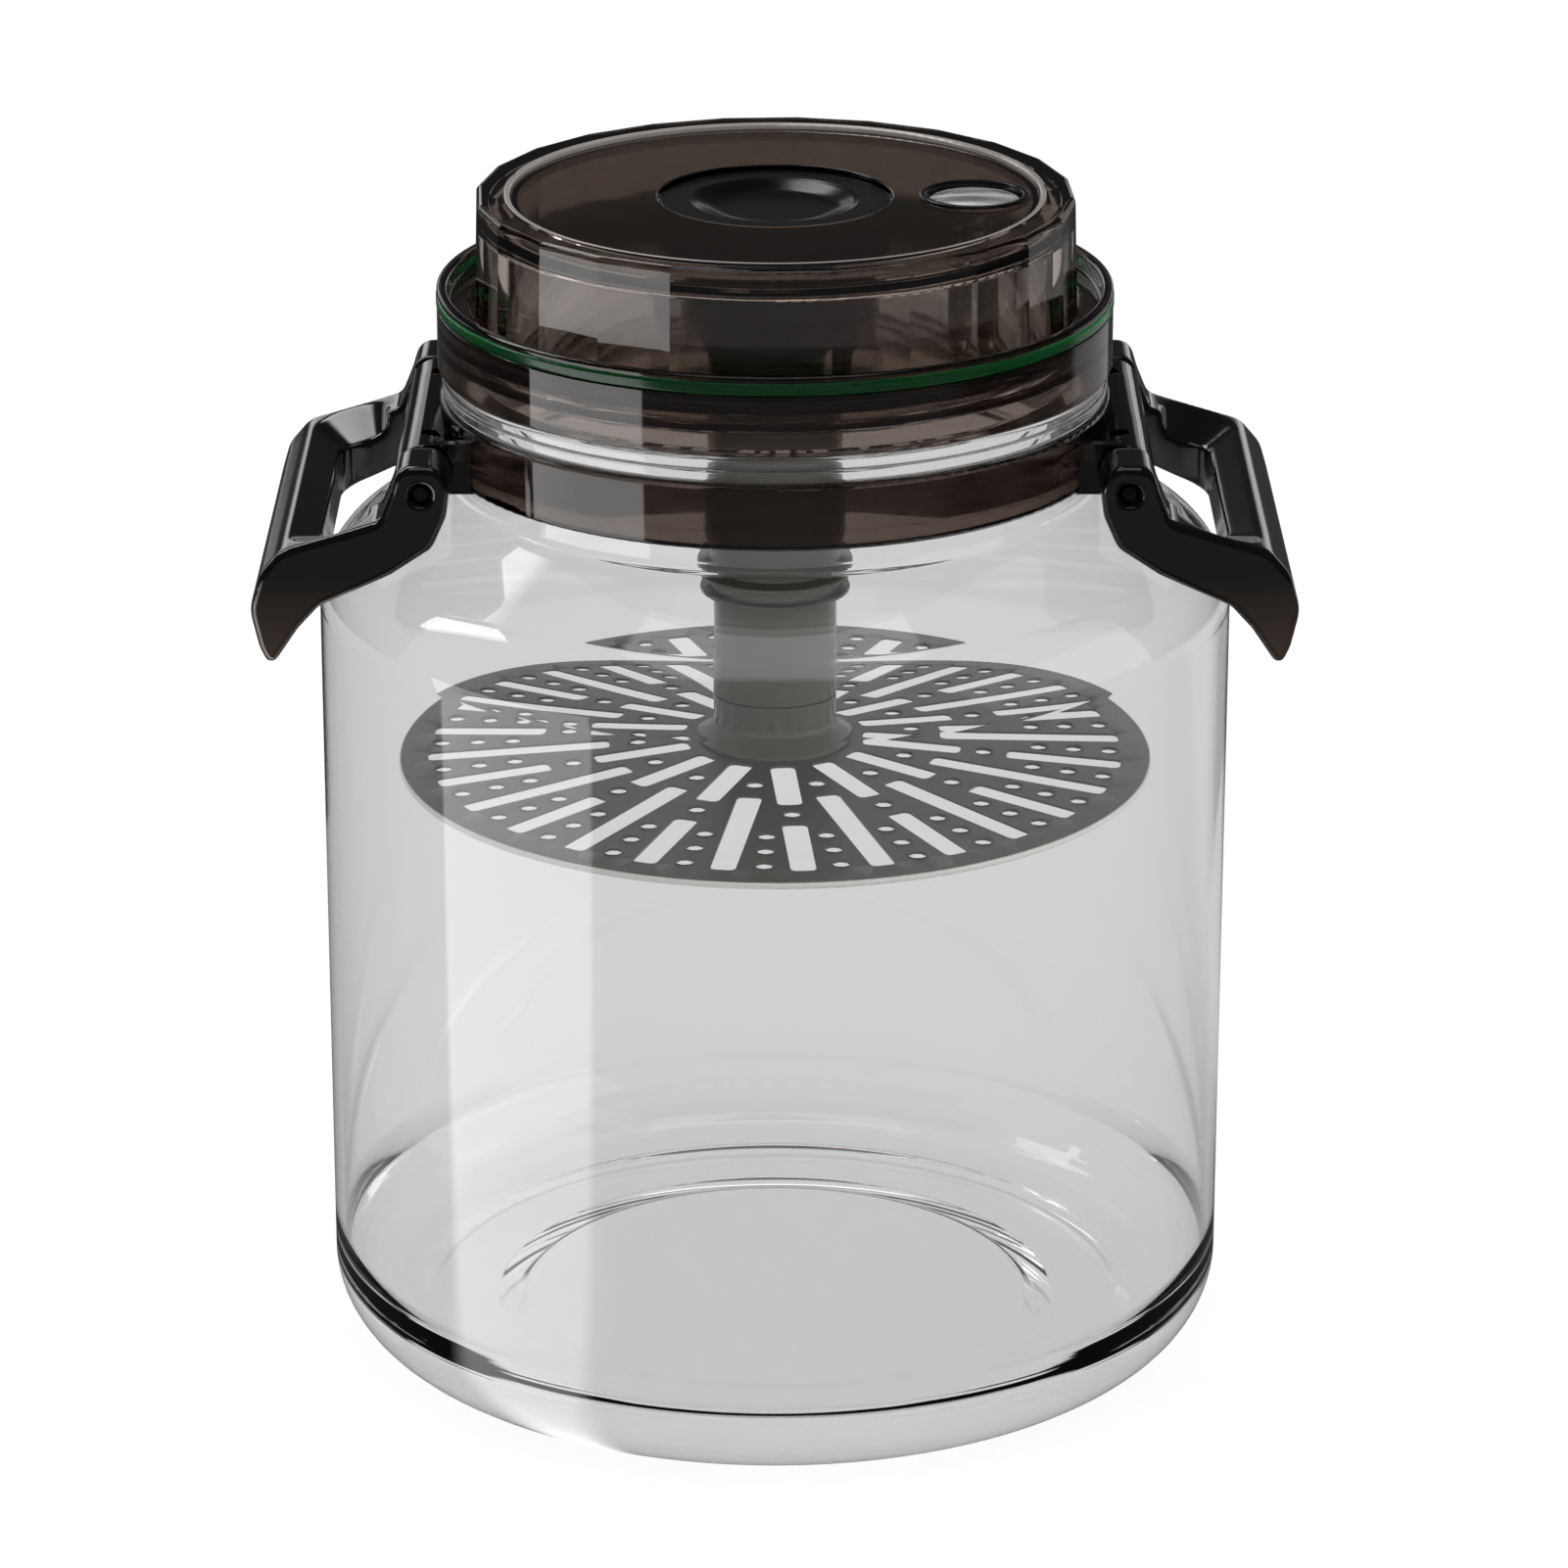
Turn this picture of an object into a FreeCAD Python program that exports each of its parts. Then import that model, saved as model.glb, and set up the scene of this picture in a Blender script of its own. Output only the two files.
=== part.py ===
import FreeCAD, Part
import math
import os
from FreeCAD import Vector

# Glass pickle keeper: a round jar with two bail handles, a screw ring that holds a vacuum-pump lid,
# and a slotted strainer plate that rides up and down on a telescoping stem.
# Millimetres. Z is the jar's axis and the jar stands on Z = 0. The handles hinge at +X and -X.

# ---- clearances and edges ----
running_gap = 0.35
fit_gap = 0.05
seat_gap = 0.1
side_gap = 0.8
crisp_edge = 0.3
fine_edge = 0.4
soft_edge = 0.8

# ---- glass jar ----
jar_radius = 100.0
jar_wall = 3.0
shoulder_drop = 1.2
jar_floor = 4.0
base_round = 25.4
foot_width = 11.0
underside_rise = 1.8
underside_slope_run = 7.2
body_height = 181.8
shoulder_round = 18.0
shoulder_slope = 0.5672
shoulder_seam_drop = 10.5
knee_run = 9.9
knee_round = 62.0
neck_root_rise = 2.5
neck_fillet = 5.0
neck_height = 8.1
finish_radius = 66.0
finish_height = 8.5
finish_wall = 3.5
neck_step = 4.0
collar_seat_step = 2.0
bead_step = 6.4
bead_height = 6.2
bead_round = 1.4
bead_groove = 0.5
bead_groove_depth = 1.0
lip_round = 1.1

# ---- thread starts ----
lug_count = 6
lug_arc = 34.0
lug_flank = 0.5
lug_crest = 0.8
lug_depth = 2.5
lug_sink = 0.5
neck_lug_rise = 3.8
ring_lug_rise = 0.6

# ---- handle collar and hinges ----
collar_height = 14.0
collar_wall = 4.8
hinge_offset = 2.1
hinge_rise = 4.7
knuckle_radius = 6.2
knuckle_length = 66.4
knuckle_edge = 0.7
block_depth = 20.5
valley_rise = 2.0
end_plate = 2.5
end_plate_rise = 7.5
screw_hole_radius = 2.1
screw_hole_inset = 10.2
screw_hole_offset = 1.0
screw_hole_depth = 2.4
pin_radius = 2.0
pin_chamfer = 0.5
pin_recess = 1.2
pin_recess_radius = 2.7

# ---- handles ----
handle_width = 98.0
handle_wall = 2.8
handle_edge_round = 1.5
window_inset = 3.0
window_round = 5.0
bevel_land = 1.8
bevel_depth = 5.2
bevel_start = 11.5
bevel_step = 2.0
bevel_run = 7.0
bevel_round = 6.0
bevel_over = 1.5
hollow_round = 3.0
hollow_tip_in = 5.0
hollow_tip_drop = 6.0

# ---- corners of a handle's side outline ----
# "out" and "in" run along X, "rise" and "drop" along Z.
# The ear's are from the hinge, the grip's and claw's from the top of the jar's wall.
boss_low = 1.0
boss_back_step = 2.0
boss_front_step = 1.5
boss_round = 4.0
ear_top_out = 9.0
ear_top_drop = 6.0
ear_top_round = 3.0
ear_bend_out = 16.0
ear_bend_drop = 8.2
ear_bend_round = 12.0
grip_ridge_out = 5.0
grip_ridge_rise = 14.3
grip_ridge_round = 6.5
grip_crown_out = 9.6
grip_crown_rise = 8.9
grip_crown_round = 6.0
grip_nose_out = 11.9
grip_nose_rise = 1.0
grip_nose_round = 8.0
grip_claw_out = 10.0
grip_claw_drop = 7.3
grip_claw_round = 6.0
claw_tip_out = 7.7
claw_tip_drop = 12.3
claw_tip_round = 1.6
claw_inside_out = 1.6
claw_inside_drop = 3.2
claw_inside_round = 5.0
grip_heel_in = 3.0
grip_heel_rise = 1.8
grip_heel_round = 4.0
ear_belly_out = 6.6
ear_belly_drop = 17.9
ear_belly_round = 8.0
ear_heel_in = 2.3
ear_heel_drop = 12.0
ear_heel_round = 4.0
ear_back_in = 5.4
ear_back_drop = 5.0
ear_back_round = 3.0

# ---- screw ring and its seal ring ----
thread_room = 5.3
ring_wall = 2.0
ring_flange = 1.9
ring_lip_height = 3.8
ring_lip_wall = 2.5
ring_lip_round = 0.9
flange_gap = 0.8
seal_ring_height = 2.6
seal_ring_depth = 1.1
seal_ring_drop = 1.4

# ---- inner lid ----
gasket_thick = 1.6
gasket_groove = 0.6
gasket_margin = 0.15
gasket_bevel = 0.8
lid_flange = 2.3
lid_flange_margin = 0.4
plug_depth = 5.0
plug_wall = 2.0
plug_fillet = 1.0
socket_wall = 2.0
socket_depth = 8.0

# ---- pump housing and top panel ----
gutter_width = 5.3
housing_height = 26.0
housing_facets = 24
facet_phase = 10.4
housing_draft = 0.7
housing_wall = 3.5
rim_width = 6.2
rim_round = 1.4
top_recess_depth = 3.2
ledge_width = 3.0
ledge_thick = 1.8
panel_thick = 2.2
trim_width = 1.3
trim_round = 0.45

# ---- vacuum pump ----
button_share = 0.44
button_thick = 2.6
button_drop = 0.9
button_skirt_wall = 1.6
button_skirt_height = 12.0
skirt_gap = 0.9
dish_margin = 8.1
dish_depth = 1.8
dish_floor_run = 4.0
dish_floor_round = 8.0
dish_rim = 1.2
pump_stroke = 7.0
closed_spring = 2.5
cylinder_wall = 2.0
cylinder_height = 13.5
cylinder_foot = 1.2
piston_thick = 3.0
piston_rod_radius = 4.0
piston_seal_thick = 1.4
piston_seal_depth = 1.2
pump_spring_radius = 9.5
pump_spring_wire = 0.7
pump_spring_turns = 4
valve_radius = 4.5
valve_stem_radius = 1.5
valve_cap = 1.0
valve_lip = 0.3
valve_foot = 1.6
valve_foot_radius = 3.2

# ---- release button ----
release_place = 0.56
release_share = 0.3125
release_cap = 3.0
release_crown = 1.0
release_crown_round = 12.0
release_stroke = 2.5
bezel_width = 1.6
bezel_guide = 0.9
bezel_stand = 0.5
release_stem_radius = 2.4
release_boss_wall = 1.8
release_boss_height = 7.0
release_seal_radius = 5.2
release_seal_thick = 1.8
release_spring_wire = 0.5
release_spring_turns = 4

# ---- telescoping stem ----
sleeve_wall = 0.9
sleeve_length = 62.5
sleeve_flange_width = 1.75
sleeve_flange = 0.9
sleeve_ridge_height = 2.35
sleeve_ridge_rise = 3.1
sleeve_ridge_pitch = 3.3
sleeve_ridge_flank = 0.9
sleeve_ridge_top = 0.8
sleeve_ridges = 2
vent_radius = 1.5
vent_drop = 4.0
tube_radius = 13.5
tube_wall = 1.3
tube_length = 60.0
post_wall = 1.2
hub_height = 11.0
hub_floor = 3.0
hub_flare_width = 3.7
hub_flare = 3.0
hub_flare_edge = 0.6
hub_fillet = 2.0

# ---- strainer plate ----
plate_margin = 13.5
plate_drop = 36.8
plate_thick = 1.0
plate_crown = 3.1
plate_hub_margin = 1.2
plate_lip = 1.4
plate_lip_width = 1.2
plate_knee_round = 30.0
slot_count = 14
slot_phase = -8.3
slot_width = 5.5
slot_round = 1.4
hole_radius = 1.95
hole_sides = 8
side_hole_angle = 6.3
# radial places of slots and holes, as shares of the plate's radius
inner_slot_start = 0.237
inner_slot_end = 0.497
long_slot_start = 0.441
outer_slot_start = 0.62
slot_end = 0.922
line_hole = 0.557
gap_hole = 0.365
side_holes = (0.7, 0.794, 0.888)

# ---- radii that follow from the sizes above ----
bore_radius = finish_radius - finish_wall
neck_radius = finish_radius + neck_step
collar_seat_radius = finish_radius + collar_seat_step
bead_radius = finish_radius + bead_step
knee_radius = neck_radius + knee_run
collar_radius = collar_seat_radius + seat_gap + collar_wall
hinge_x = collar_radius + hinge_offset
ring_bore = finish_radius + thread_room
ring_radius = ring_bore + ring_wall
housing_radius_low = ring_radius - ring_lip_wall - gutter_width
housing_radius_top = housing_radius_low - housing_draft
housing_bore = housing_radius_low - housing_wall
top_recess_radius = housing_radius_top - rim_width
panel_radius = top_recess_radius - trim_width - 2 * seat_gap
button_radius = button_share * panel_radius
dish_radius = button_radius - dish_margin
cylinder_radius = button_radius - button_skirt_wall - skirt_gap
cylinder_bore = cylinder_radius - cylinder_wall
release_x = button_radius + release_place * (panel_radius - button_radius)
release_radius = release_share * (panel_radius - button_radius)
sleeve_bore = tube_radius + running_gap
post_radius = tube_radius - tube_wall - running_gap
hub_flare_radius = tube_radius + hub_flare_width
plate_hub_flat = hub_flare_radius + plate_hub_margin
plate_radius = jar_radius - jar_wall - plate_margin
window_half = knuckle_length / 2 + side_gap

# ---- heights that follow from the sizes above ----
shoulder_seam_z = body_height - shoulder_seam_drop
knee_z = body_height + shoulder_slope * (jar_radius - knee_radius)
neck_root_z = knee_z + neck_root_rise
neck_seam_z = neck_root_z + neck_height / 2
collar_z = neck_root_z + neck_height
bead_z = collar_z + collar_height + 2 * seat_gap
finish_z = bead_z + bead_height
mouth_z = finish_z + finish_height
flange_z = mouth_z + gasket_thick - gasket_groove
lid_top_z = flange_z + lid_flange
ring_flange_z = lid_top_z + seat_gap
gutter_z = ring_flange_z + ring_flange
ring_top_z = gutter_z + ring_lip_height
ring_bottom_z = finish_z + seat_gap * 2
housing_top_z = lid_top_z + housing_height
panel_z = housing_top_z - top_recess_depth
panel_top_z = panel_z + panel_thick
button_top_z = panel_top_z - button_drop
piston_z = lid_top_z + pump_stroke + closed_spring
sleeve_bottom_z = flange_z - sleeve_length
hinge_z = collar_z + hinge_rise
plate_rim_z = sleeve_bottom_z - plate_drop
plate_foot_z = plate_rim_z + plate_crown
hub_top_z = plate_foot_z + hub_height
tube_top_z = hub_top_z + tube_length


# ================= outline helpers =================

def outline(corners):
    """A closed face in the XZ plane. Each corner is (x, z) or (x, z, round)."""
    points = [Vector(c[0], 0, c[1]) for c in corners]
    rounds = [c[2] if len(c) > 2 else 0.0 for c in corners]
    edges = []
    ends = []
    for i, point in enumerate(points):
        back = points[i - 1] - point
        ahead = points[(i + 1) % len(points)] - point
        half = back.getAngle(ahead) / 2
        if rounds[i] <= 0 or half > math.pi / 2 - 1e-3:
            ends.append((point, None, point))
            continue
        reach = min(rounds[i] / math.tan(half), 0.48 * back.Length, 0.48 * ahead.Length)
        radius = reach * math.tan(half)
        back.normalize()
        ahead.normalize()
        inward = (back + ahead).normalize()
        middle = point + inward * (radius / math.sin(half) - radius)
        ends.append((point + back * reach, middle, point + ahead * reach))
    for i, (start, middle, end) in enumerate(ends):
        if middle is not None:
            edges.append(Part.Arc(start, middle, end).toShape())
        following = ends[(i + 1) % len(ends)][0]
        if end.distanceToPoint(following) > 1e-6:
            edges.append(Part.LineSegment(end, following).toShape())
    return Part.Face(Part.Wire(edges))


def turned(corners, angle=360.0):
    """A solid of revolution about Z from corners (radius, z, round)."""
    return outline(corners).revolve(Vector(0, 0, 0), Vector(0, 0, 1), angle)


def ring(inner, outer, low, high, edge=0.0):
    """A plain ring with its four edges rounded."""
    corners = [(inner, low, edge), (outer, low, edge), (outer, high, edge), (inner, high, edge)]
    return turned(corners)


def rod(radius, low, high, x=0.0, edge=0.0):
    """A round bar parallel to Z, centred at x, with both rims rounded."""
    bar = turned([(0, low), (radius, low, edge), (radius, high, edge), (0, high)])
    bar.translate(Vector(x, 0, 0))
    return bar


def bar_along_y(radius, length, x, z):
    """A round bar parallel to Y, centred on Y = 0."""
    return Part.makeCylinder(radius, length, Vector(x, -length / 2, z), Vector(0, 1, 0))


def extruded(corners, width):
    """An XZ outline given its width along Y, centred on Y = 0."""
    face = outline(corners)
    face.translate(Vector(0, -width / 2, 0))
    return face.extrude(Vector(0, width, 0))


def inset(before, corner, after, wall):
    """Where a corner between two straight runs moves to when both runs move inwards by the wall."""
    a, b, c = (Vector(p[0], p[1], 0) for p in (before, corner, after))
    first = (b - a).normalize()
    second = (c - b).normalize()
    left_first = Vector(-first.y, first.x, 0)
    left_second = Vector(-second.y, second.x, 0)
    middle = (left_first + left_second).normalize()
    moved = b + middle * (wall / middle.dot(left_first))
    return moved.x, moved.y


def turned_copies(shape, count, phase=0.0):
    """Copies of a shape spaced evenly about Z."""
    copies = []
    for i in range(count):
        copy = shape.copy()
        copy.rotate(Vector(0, 0, 0), Vector(0, 0, 1), phase + 360.0 * i / count)
        copies.append(copy)
    return copies


def mirrored(shape):
    """The left-hand twin of a right-hand piece."""
    return shape.mirror(Vector(0, 0, 0), Vector(1, 0, 0))


def coil(radius, wire, turns, low, high, x=0.0):
    """A compression spring standing between two heights. Its wire has a six-sided section."""
    rise = high - low - 2 * (wire + seat_gap)
    path = Part.makeHelix(rise / turns, rise, radius)
    section = []
    for i in range(7):
        turn = math.pi * (i % 6) / 3
        section.append(Vector(radius + wire * math.cos(turn), 0, wire * math.sin(turn)))
    spring = Part.Wire(path).makePipeShell([Part.makePolygon(section)], True, True)
    spring.translate(Vector(x, 0, low + wire + seat_gap))
    return spring


# ================= jar =================

def jar_glass():
    """The whole jar: domed underside, wide shoulder, snap groove for the collar, bead and thread lugs."""
    foot_inner = jar_radius - base_round - foot_width
    bead_mid = bead_z + bead_height / 2
    outside = [
        (0, underside_rise), (foot_inner - underside_slope_run, underside_rise), (foot_inner, 0),
        (jar_radius, 0, base_round), (jar_radius, body_height, shoulder_round),
        (knee_radius, knee_z, knee_round),
        (neck_radius, neck_root_z, neck_fillet), (neck_radius, collar_z),
        (collar_seat_radius, collar_z), (collar_seat_radius, bead_z), (bead_radius, bead_z, bead_round),
        (bead_radius, bead_mid - bead_groove / 2, bead_round), (bead_radius - bead_groove_depth, bead_mid),
        (bead_radius, bead_mid + bead_groove / 2, bead_round), (bead_radius, finish_z, bead_round),
        (finish_radius, finish_z), (finish_radius, mouth_z, lip_round), (bore_radius, mouth_z, lip_round),
    ]
    inner_knee_radius = knee_radius - jar_wall
    inner_knee_z = knee_z - shoulder_drop
    inner_root_z = inner_knee_z + (inner_knee_radius - bore_radius) * neck_root_rise / knee_run
    inside = [
        (bore_radius, inner_root_z, neck_fillet), (inner_knee_radius, inner_knee_z, knee_round),
        (jar_radius - jar_wall, body_height - shoulder_drop, shoulder_round),
        (jar_radius - jar_wall, jar_floor, base_round - jar_wall), (0, jar_floor),
    ]
    lugs = turned_copies(
        thread_lug(finish_radius - lug_sink, finish_radius + lug_depth, finish_z + neck_lug_rise), lug_count)
    return turned(outside + inside).fuse(lugs).removeSplitter()


def glass_between(glass, low, high):
    """The part of the jar between two heights. Its three parts lie face to face, as one glass."""
    size = 4 * jar_radius
    return glass.common(Part.makeBox(size, size, high - low, Vector(-size / 2, -size / 2, low)))


def thread_lug(root, crest, low):
    """A short thread start between two radii. The ring's drop between the neck's and turn under them."""
    return turned([
        (root, low), (crest, low + lug_flank, crisp_edge), (crest, low + lug_flank + lug_crest, crisp_edge),
        (root, low + 2 * lug_flank + lug_crest),
    ], lug_arc)


# ================= collar, hinge pins and handles =================

def handle_collar():
    """Plastic band snapped in the neck groove, with a hinge barrel on a block at each side."""
    low = collar_z + seat_gap
    inner = collar_seat_radius + seat_gap
    back = hinge_x - block_depth
    valley = hinge_z + valley_rise
    band = ring(inner, collar_radius, low, low + collar_height, soft_edge)
    block = extruded([
        (back, low), (hinge_x, low), (hinge_x, hinge_z + knuckle_radius), (back, hinge_z + end_plate_rise),
    ], knuckle_length)
    between = knuckle_length - 2 * end_plate
    block = block.cut(Part.makeBox(block_depth, between, collar_height, Vector(back, -between / 2, valley)))
    barrel = bar_along_y(knuckle_radius, knuckle_length, hinge_x, hinge_z)
    barrel = barrel.makeFillet(knuckle_edge, end_circles(barrel))
    side = block.fuse(barrel)
    side = side.cut(Part.makeCylinder(inner, 3 * collar_height, Vector(0, 0, low - collar_height)))
    side = side.cut(bar_along_y(pin_radius, handle_width, hinge_x, hinge_z))
    hole_z = hinge_z + knuckle_radius - screw_hole_depth
    hole_y = knuckle_length / 2 - screw_hole_inset
    for y in (-hole_y, hole_y):
        place = Vector(hinge_x - screw_hole_offset, y, hole_z)
        side = side.cut(Part.makeCylinder(screw_hole_radius, knuckle_radius, place))
    return band.fuse([side, mirrored(side)]).removeSplitter()


def end_circles(bar):
    """The two end edges of a plain round bar."""
    return [e for e in bar.Edges if e.Curve.TypeId == "Part::GeomCircle"]


def hinge_pin():
    """Steel rod pressed through one barrel; the handle's ears turn on its ends."""
    pin = bar_along_y(pin_radius, handle_width - 2 * pin_recess, hinge_x, hinge_z)
    return pin.makeChamfer(pin_chamfer, end_circles(pin))


def handle_skin():
    """The corners of a handle's outer face, from the hinge boss out to the claw tip."""
    ear = [
        (ear_top_out, -ear_top_drop, ear_top_round), (ear_bend_out, -ear_bend_drop, ear_bend_round),
    ]
    grip = [
        (grip_ridge_out, grip_ridge_rise, grip_ridge_round),
        (grip_crown_out, grip_crown_rise, grip_crown_round),
        (grip_nose_out, grip_nose_rise, grip_nose_round),
        (grip_claw_out, -grip_claw_drop, grip_claw_round),
        (claw_tip_out, -claw_tip_drop, claw_tip_round),
    ]
    return placed(ear, hinge_x, hinge_z) + placed(grip, jar_radius, body_height)


def handle_underside():
    """The corners from the claw tip back under the ear and round the hinge boss."""
    grip = [
        (claw_inside_out, -claw_inside_drop, claw_inside_round),
        (-grip_heel_in, grip_heel_rise, grip_heel_round),
    ]
    ear = [
        (ear_belly_out, -ear_belly_drop, ear_belly_round),
        (-ear_heel_in, -ear_heel_drop, ear_heel_round),
        (-ear_back_in, -ear_back_drop, ear_back_round), (-knuckle_radius, boss_low, ear_back_round),
        (boss_back_step - knuckle_radius, knuckle_radius, boss_round),
        (knuckle_radius - boss_front_step, knuckle_radius, boss_round),
        (knuckle_radius + side_gap / 4, side_gap / 2, boss_round),
    ]
    return placed(grip, jar_radius, body_height) + placed(ear, hinge_x, hinge_z)


def placed(offsets, x, z):
    """Corners (out, up, round) moved to where they start from."""
    return [(x + c[0], z + c[1], c[2]) for c in offsets]


def handle():
    """Right-hand bail: two cranked ears, a claw-shaped grip, hollow from below like a moulded channel."""
    body = extruded(handle_skin() + handle_underside(), handle_width)
    rims = [e for e in body.Edges if abs(abs(e.CenterOfMass.y) - handle_width / 2) < 1e-3]
    body = body.makeFillet(handle_edge_round, rims)
    body = body.cut(handle_bevel(0.0)).cut(handle_window()).cut(handle_hollow())
    past_width = handle_width + 2 * pin_recess
    body = body.cut(bar_along_y(pin_radius + fit_gap, past_width, hinge_x, hinge_z))
    recess = bar_along_y(pin_recess_radius, past_width, hinge_x, hinge_z)
    between = bar_along_y(2 * pin_recess_radius, handle_width - 2 * pin_recess, hinge_x, hinge_z)
    return body.cut(recess.cut(between))


def handle_bevel(wall):
    """Cutter for the dished top that falls from the rims to the finger opening, grown by a wall."""
    bend = Vector(hinge_x + ear_bend_out, 0, hinge_z - ear_bend_drop)
    ridge = Vector(jar_radius + grip_ridge_out, 0, body_height + grip_ridge_rise)
    tilt = math.atan2(bend.z - ridge.z, ridge.x - bend.x)
    near = bevel_start - ear_bend_out - wall
    far = (jar_radius - window_inset - bend.x) / math.cos(tilt) + wall
    side_run = handle_width / 2 - bevel_land - window_half
    loops = []
    for share in (0.0, 1 + bevel_over / bevel_depth):
        height = bevel_depth * (share - 1) - wall
        half = window_half + wall + side_run * share
        start = near + bevel_step * (1 - share)
        loops.append(rounded_loop(start, far + bevel_run * share, half, height, bevel_round * (1 + share)))
    cutter = Part.makeLoft(loops, True, True)
    cutter.rotate(Vector(0, 0, 0), Vector(0, 1, 0), math.degrees(tilt))
    cutter.translate(bend)
    return cutter


def rounded_loop(low_x, high_x, half, z, radius):
    """A level rectangle with round corners, as a wire."""
    corners = [(low_x, -half), (high_x, -half), (high_x, half), (low_x, half)]
    face = outline([c + (radius,) for c in corners])
    face.rotate(Vector(0, 0, 0), Vector(1, 0, 0), -90)
    face.translate(Vector(0, 0, z))
    return face.OuterWire


def handle_window():
    """The finger opening between the ears, from behind the barrel out to the grip."""
    left = hinge_x - 3 * knuckle_radius
    length = jar_radius - window_inset - left
    height = 12 * knuckle_radius
    low = Vector(left, -window_half, hinge_z - 9 * knuckle_radius)
    box = Part.makeBox(length, 2 * window_half, height, low)
    corners = [e for e in box.Edges if abs(e.Length - height) < 1e-3 and e.CenterOfMass.x > hinge_x]
    return box.makeFillet(window_round, corners)


def handle_hollow():
    """Space under the skin, open towards the jar, so every wall is a moulding's thickness."""
    skin = [c[:2] for c in handle_skin()]
    start_x = hinge_x + knuckle_radius + handle_wall
    start_z = hinge_z - knuckle_radius
    path = [(start_x, start_z)] + skin[1:] + [(skin[-1][0] - hollow_tip_in, skin[-1][1] - hollow_tip_drop)]
    inner = []
    for before, corner, after in zip(path, path[1:], path[2:]):
        inner.append(inset(after, corner, before, handle_wall) + (hollow_round,))
    below = hinge_z - 9 * knuckle_radius
    corners = [(start_x, start_z - handle_wall)] + inner
    corners += [(inner[-1][0] - hollow_tip_drop, below), (start_x, below)]
    hollow = extruded(corners, handle_width - 2 * handle_wall)
    width = 2 * (window_half + handle_wall)
    reach = jar_radius - window_inset + handle_wall
    keep = Part.makeBox(reach, width, 2 * hinge_z, Vector(0, -width / 2, 0))
    return hollow.cut(keep).cut(handle_bevel(handle_wall))


# ================= lid ring =================

def screw_ring():
    """Clear screw ring: skirt over the neck, inward flange on the inner lid, raised lip and gutter."""
    lip_bore = ring_radius - ring_lip_wall
    flange_bore = housing_radius_low + flange_gap
    groove = ring_radius - seal_ring_depth
    groove_high = ring_top_z - seal_ring_drop
    groove_low = groove_high - seal_ring_height
    body = turned([
        (ring_bore, ring_bottom_z, fine_edge), (ring_radius, ring_bottom_z, fine_edge),
        (ring_radius, groove_low, crisp_edge), (groove, groove_low), (groove, groove_high),
        (ring_radius, groove_high, crisp_edge), (ring_radius, ring_top_z, ring_lip_round),
        (lip_bore, ring_top_z, ring_lip_round), (lip_bore, gutter_z, soft_edge),
        (flange_bore, gutter_z, fine_edge), (flange_bore, ring_flange_z), (ring_bore, ring_flange_z),
    ])
    crest = finish_radius + lug_depth + running_gap
    lug = thread_lug(ring_bore + lug_sink, crest, ring_bottom_z + ring_lug_rise)
    return body.fuse(turned_copies(lug, lug_count)).removeSplitter()


def green_seal_ring():
    """Green silicone band in the groove round the screw ring."""
    high = ring_top_z - seal_ring_drop - seat_gap
    low = high - seal_ring_height + 2 * seat_gap
    return ring(ring_radius - seal_ring_depth + seat_gap, ring_radius, low, high, fine_edge)


# ================= inner lid and housing =================

def lid_base():
    """Inner lid: flange over the mouth, plug in the bore, sockets for the stem and both valves."""
    flange_radius = ring_bore - lid_flange_margin
    plug = bore_radius - 2 * running_gap
    socket = sleeve_bore + sleeve_wall + seat_gap
    valve_hole = valve_stem_radius + seat_gap
    body = turned([
        (valve_hole, flange_z), (socket, flange_z), (socket, flange_z - socket_depth),
        (socket + socket_wall, flange_z - socket_depth), (socket + socket_wall, flange_z, plug_fillet),
        (plug - plug_wall, flange_z, plug_fillet), (plug - plug_wall, flange_z - plug_depth, fine_edge),
        (plug, flange_z - plug_depth, soft_edge), (plug, flange_z), (flange_radius, flange_z),
        (flange_radius, lid_top_z, fine_edge), (valve_hole, lid_top_z),
    ])
    boss_top = lid_top_z + release_boss_height
    boss_bore = release_stem_radius + running_gap
    boss = rod(boss_bore + release_boss_wall, lid_top_z - lid_flange / 2, boss_top, release_x)
    hole = rod(boss_bore, flange_z - lid_flange, boss_top + lid_flange, release_x)
    groove_high = flange_z + gasket_groove
    groove = ring(bore_radius - gasket_margin, finish_radius, flange_z - gasket_thick, groove_high)
    return body.fuse(boss).cut(hole).cut(groove).removeSplitter()


def mouth_gasket():
    """Silicone ring pressed between the jar's mouth and the inner lid."""
    inner = bore_radius - gasket_margin + seat_gap
    outer = finish_radius - seat_gap
    high = flange_z + gasket_groove
    return turned([
        (inner, mouth_z + gasket_bevel / 2), (inner + gasket_bevel, mouth_z),
        (outer - gasket_bevel, mouth_z), (outer, mouth_z + gasket_bevel / 2), (outer, high), (inner, high),
    ])


def facet_ring(radius, z):
    """The housing's regular polygon at one height."""
    points = []
    for i in range(housing_facets + 1):
        angle = math.radians(facet_phase + 360.0 * i / housing_facets)
        points.append(Vector(radius * math.cos(angle), radius * math.sin(angle), z))
    return Part.makePolygon(points)


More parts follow.
